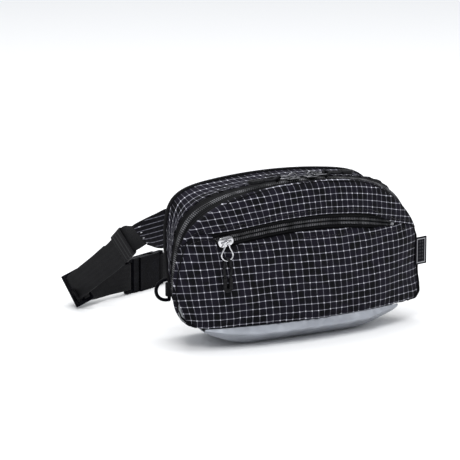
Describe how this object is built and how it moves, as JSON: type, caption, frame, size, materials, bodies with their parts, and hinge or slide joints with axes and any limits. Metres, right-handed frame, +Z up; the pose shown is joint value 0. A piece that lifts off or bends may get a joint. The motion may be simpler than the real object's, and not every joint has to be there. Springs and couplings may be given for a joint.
{
  "type": "waist pack",
  "caption": "D-shaped zipped waist pack with a curved front pocket, padded wings, webbing belt with a sliding adjuster and a side-release buckle.",
  "frame": {"origin": "middle of the flat patch under the base that the bag stands on", "axes": "+X along the bag's width towards the side with the label, +Y from the front towards the wearer, +Z up"},
  "size_m": [0.2582, 0.2785, 0.1465],
  "materials": {
    "grid_ripstop": "grid ripstop",
    "zip_tape": "woven tape",
    "zip_coil": "nylon coil",
    "lining": "coated nylon lining",
    "coated_silver": "coated silver-grey laminate",
    "back_mesh": "spacer mesh",
    "foam": "closed-cell foam",
    "chrome": "nickel plated",
    "pull_cord": "braided cord",
    "pull_grip": "moulded grip",
    "webbing": "woven webbing",
    "elastic": "woven elastic",
    "black_plastic": "acetal",
    "woven_label": "woven label"
  },
  "bodies": {
    "bag": {"back_panel": "back_mesh", "back_pad": "foam", "gusset": "grid_ripstop", "gusset_lining": "lining", "main_coil_rear": "zip_coil", "main_tape_rear": "zip_tape", "base_panel": "coated_silver", "wing_left": "grid_ripstop", "wing_right": "grid_ripstop", "webbing_left": "webbing", "webbing_right": "webbing", "buckle_male": "black_plastic", "d_ring_tab": "webbing"},
    "front": {"front_lower_panel": "grid_ripstop", "front_upper_panel": "grid_ripstop", "pocket_coil_lower": "zip_coil", "pocket_coil_upper": "zip_coil", "pocket_tape_lower": "zip_tape", "pocket_tape_upper": "zip_tape", "pocket_wall": "lining", "main_tape_front": "zip_tape", "main_coil_front": "zip_coil", "side_label": "woven_label"},
    "pocket_slider": {"pocket_slider": "chrome"},
    "pocket_pull": {"pocket_pull_link": "chrome", "pocket_pull_cord": "pull_cord", "pocket_pull_grip": "pull_grip"},
    "main_slider_left": {"main_slider_left": "chrome"},
    "main_pull_left": {"main_pull_left_link": "chrome", "main_pull_left_cord": "pull_cord", "main_pull_left_grip": "pull_grip"},
    "main_slider_right": {"main_slider_right": "chrome"},
    "main_pull_right": {"main_pull_right_link": "chrome", "main_pull_right_cord": "pull_cord", "main_pull_right_grip": "pull_grip"},
    "d_ring": {"d_ring": "black_plastic"},
    "adjuster": {"adjuster": "black_plastic"},
    "keeper": {"elastic_keeper": "elastic"},
    "buckle_female": {"buckle_female": "black_plastic"},
    "buckle_arm_lower": {"buckle_arm_lower": "black_plastic"},
    "buckle_arm_upper": {"buckle_arm_upper": "black_plastic"}
  },
  "joints": [
    {"name": "front_open", "type": "hinge", "parent": "bag", "child": "front", "pos_m": [0, -0.04371, 0.0188], "axis": [1, 0, 0], "range_deg": [0, 45]},
    {"name": "pocket_slider_travel", "type": "hinge", "parent": "front", "child": "pocket_slider", "pos_m": [0, 0.13769, -0.0954], "axis": [0, 0.7431, 0.6691], "range_deg": [0, 28.72]},
    {"name": "pocket_pull_swing", "type": "hinge", "parent": "pocket_slider", "child": "pocket_pull", "pos_m": [-0.08063, -0.03901, 0.09452], "axis": [-0.9801, 0.1988, 0], "range_deg": [0, 150]},
    {"name": "main_slider_left_travel", "type": "hinge", "parent": "bag", "child": "main_slider_left", "pos_m": [0, 0.11505, -0.05136], "axis": [0, 0.8019, 0.5975], "range_deg": [-8, 0]},
    {"name": "main_pull_left_swing", "type": "hinge", "parent": "main_slider_left", "child": "main_pull_left", "pos_m": [-0.0112, -0.02761, 0.14314], "axis": [0.0237, 0.9997, 0.0008], "range_deg": [0, 100]},
    {"name": "main_slider_right_travel", "type": "hinge", "parent": "bag", "child": "main_slider_right", "pos_m": [0, 0.11505, -0.05136], "axis": [0, 0.8019, 0.5975], "range_deg": [0, 8]},
    {"name": "main_pull_right_swing", "type": "hinge", "parent": "main_slider_right", "child": "main_pull_right", "pos_m": [0.0112, -0.02761, 0.14314], "axis": [0.0237, -0.9997, -0.0008], "range_deg": [0, 100]},
    {"name": "d_ring_swing", "type": "hinge", "parent": "bag", "child": "d_ring", "pos_m": [-0.099, 0.0306, 0.042], "axis": [0, 0, -1], "range_deg": [0, 110]},
    {"name": "adjuster_tilt", "type": "hinge", "parent": "bag", "child": "adjuster", "pos_m": [-0.118, 0.169, 0.0178], "axis": [-0.152, 0.6412, 0.7522], "range_deg": [-15, 15]},
    {"name": "keeper_slide", "type": "slide", "parent": "bag", "child": "keeper", "axis": [-0.1257, 0.7423, -0.6582], "range_m": [0, 0.01]},
    {"name": "buckle_release", "type": "slide", "parent": "bag", "child": "buckle_female", "axis": [0.9115, 0.4112, 0], "range_m": [0, 0.034], "deforming": ["webbing_right", "buckle_arm_lower", "buckle_arm_upper"]},
    {"name": "buckle_arm_lower_press", "type": "hinge", "parent": "bag", "child": "buckle_arm_lower", "pos_m": [-0.04297, 0.19588, 0.0078], "axis": [0.4112, -0.9115, 0], "range_deg": [0, 6], "stiffness_Nm_per_rad": 0.5},
    {"name": "buckle_arm_upper_press", "type": "hinge", "parent": "bag", "child": "buckle_arm_upper", "pos_m": [-0.04297, 0.19588, 0.0254], "axis": [-0.4112, 0.9115, 0], "range_deg": [0, 6], "stiffness_Nm_per_rad": 0.5}
  ]
}
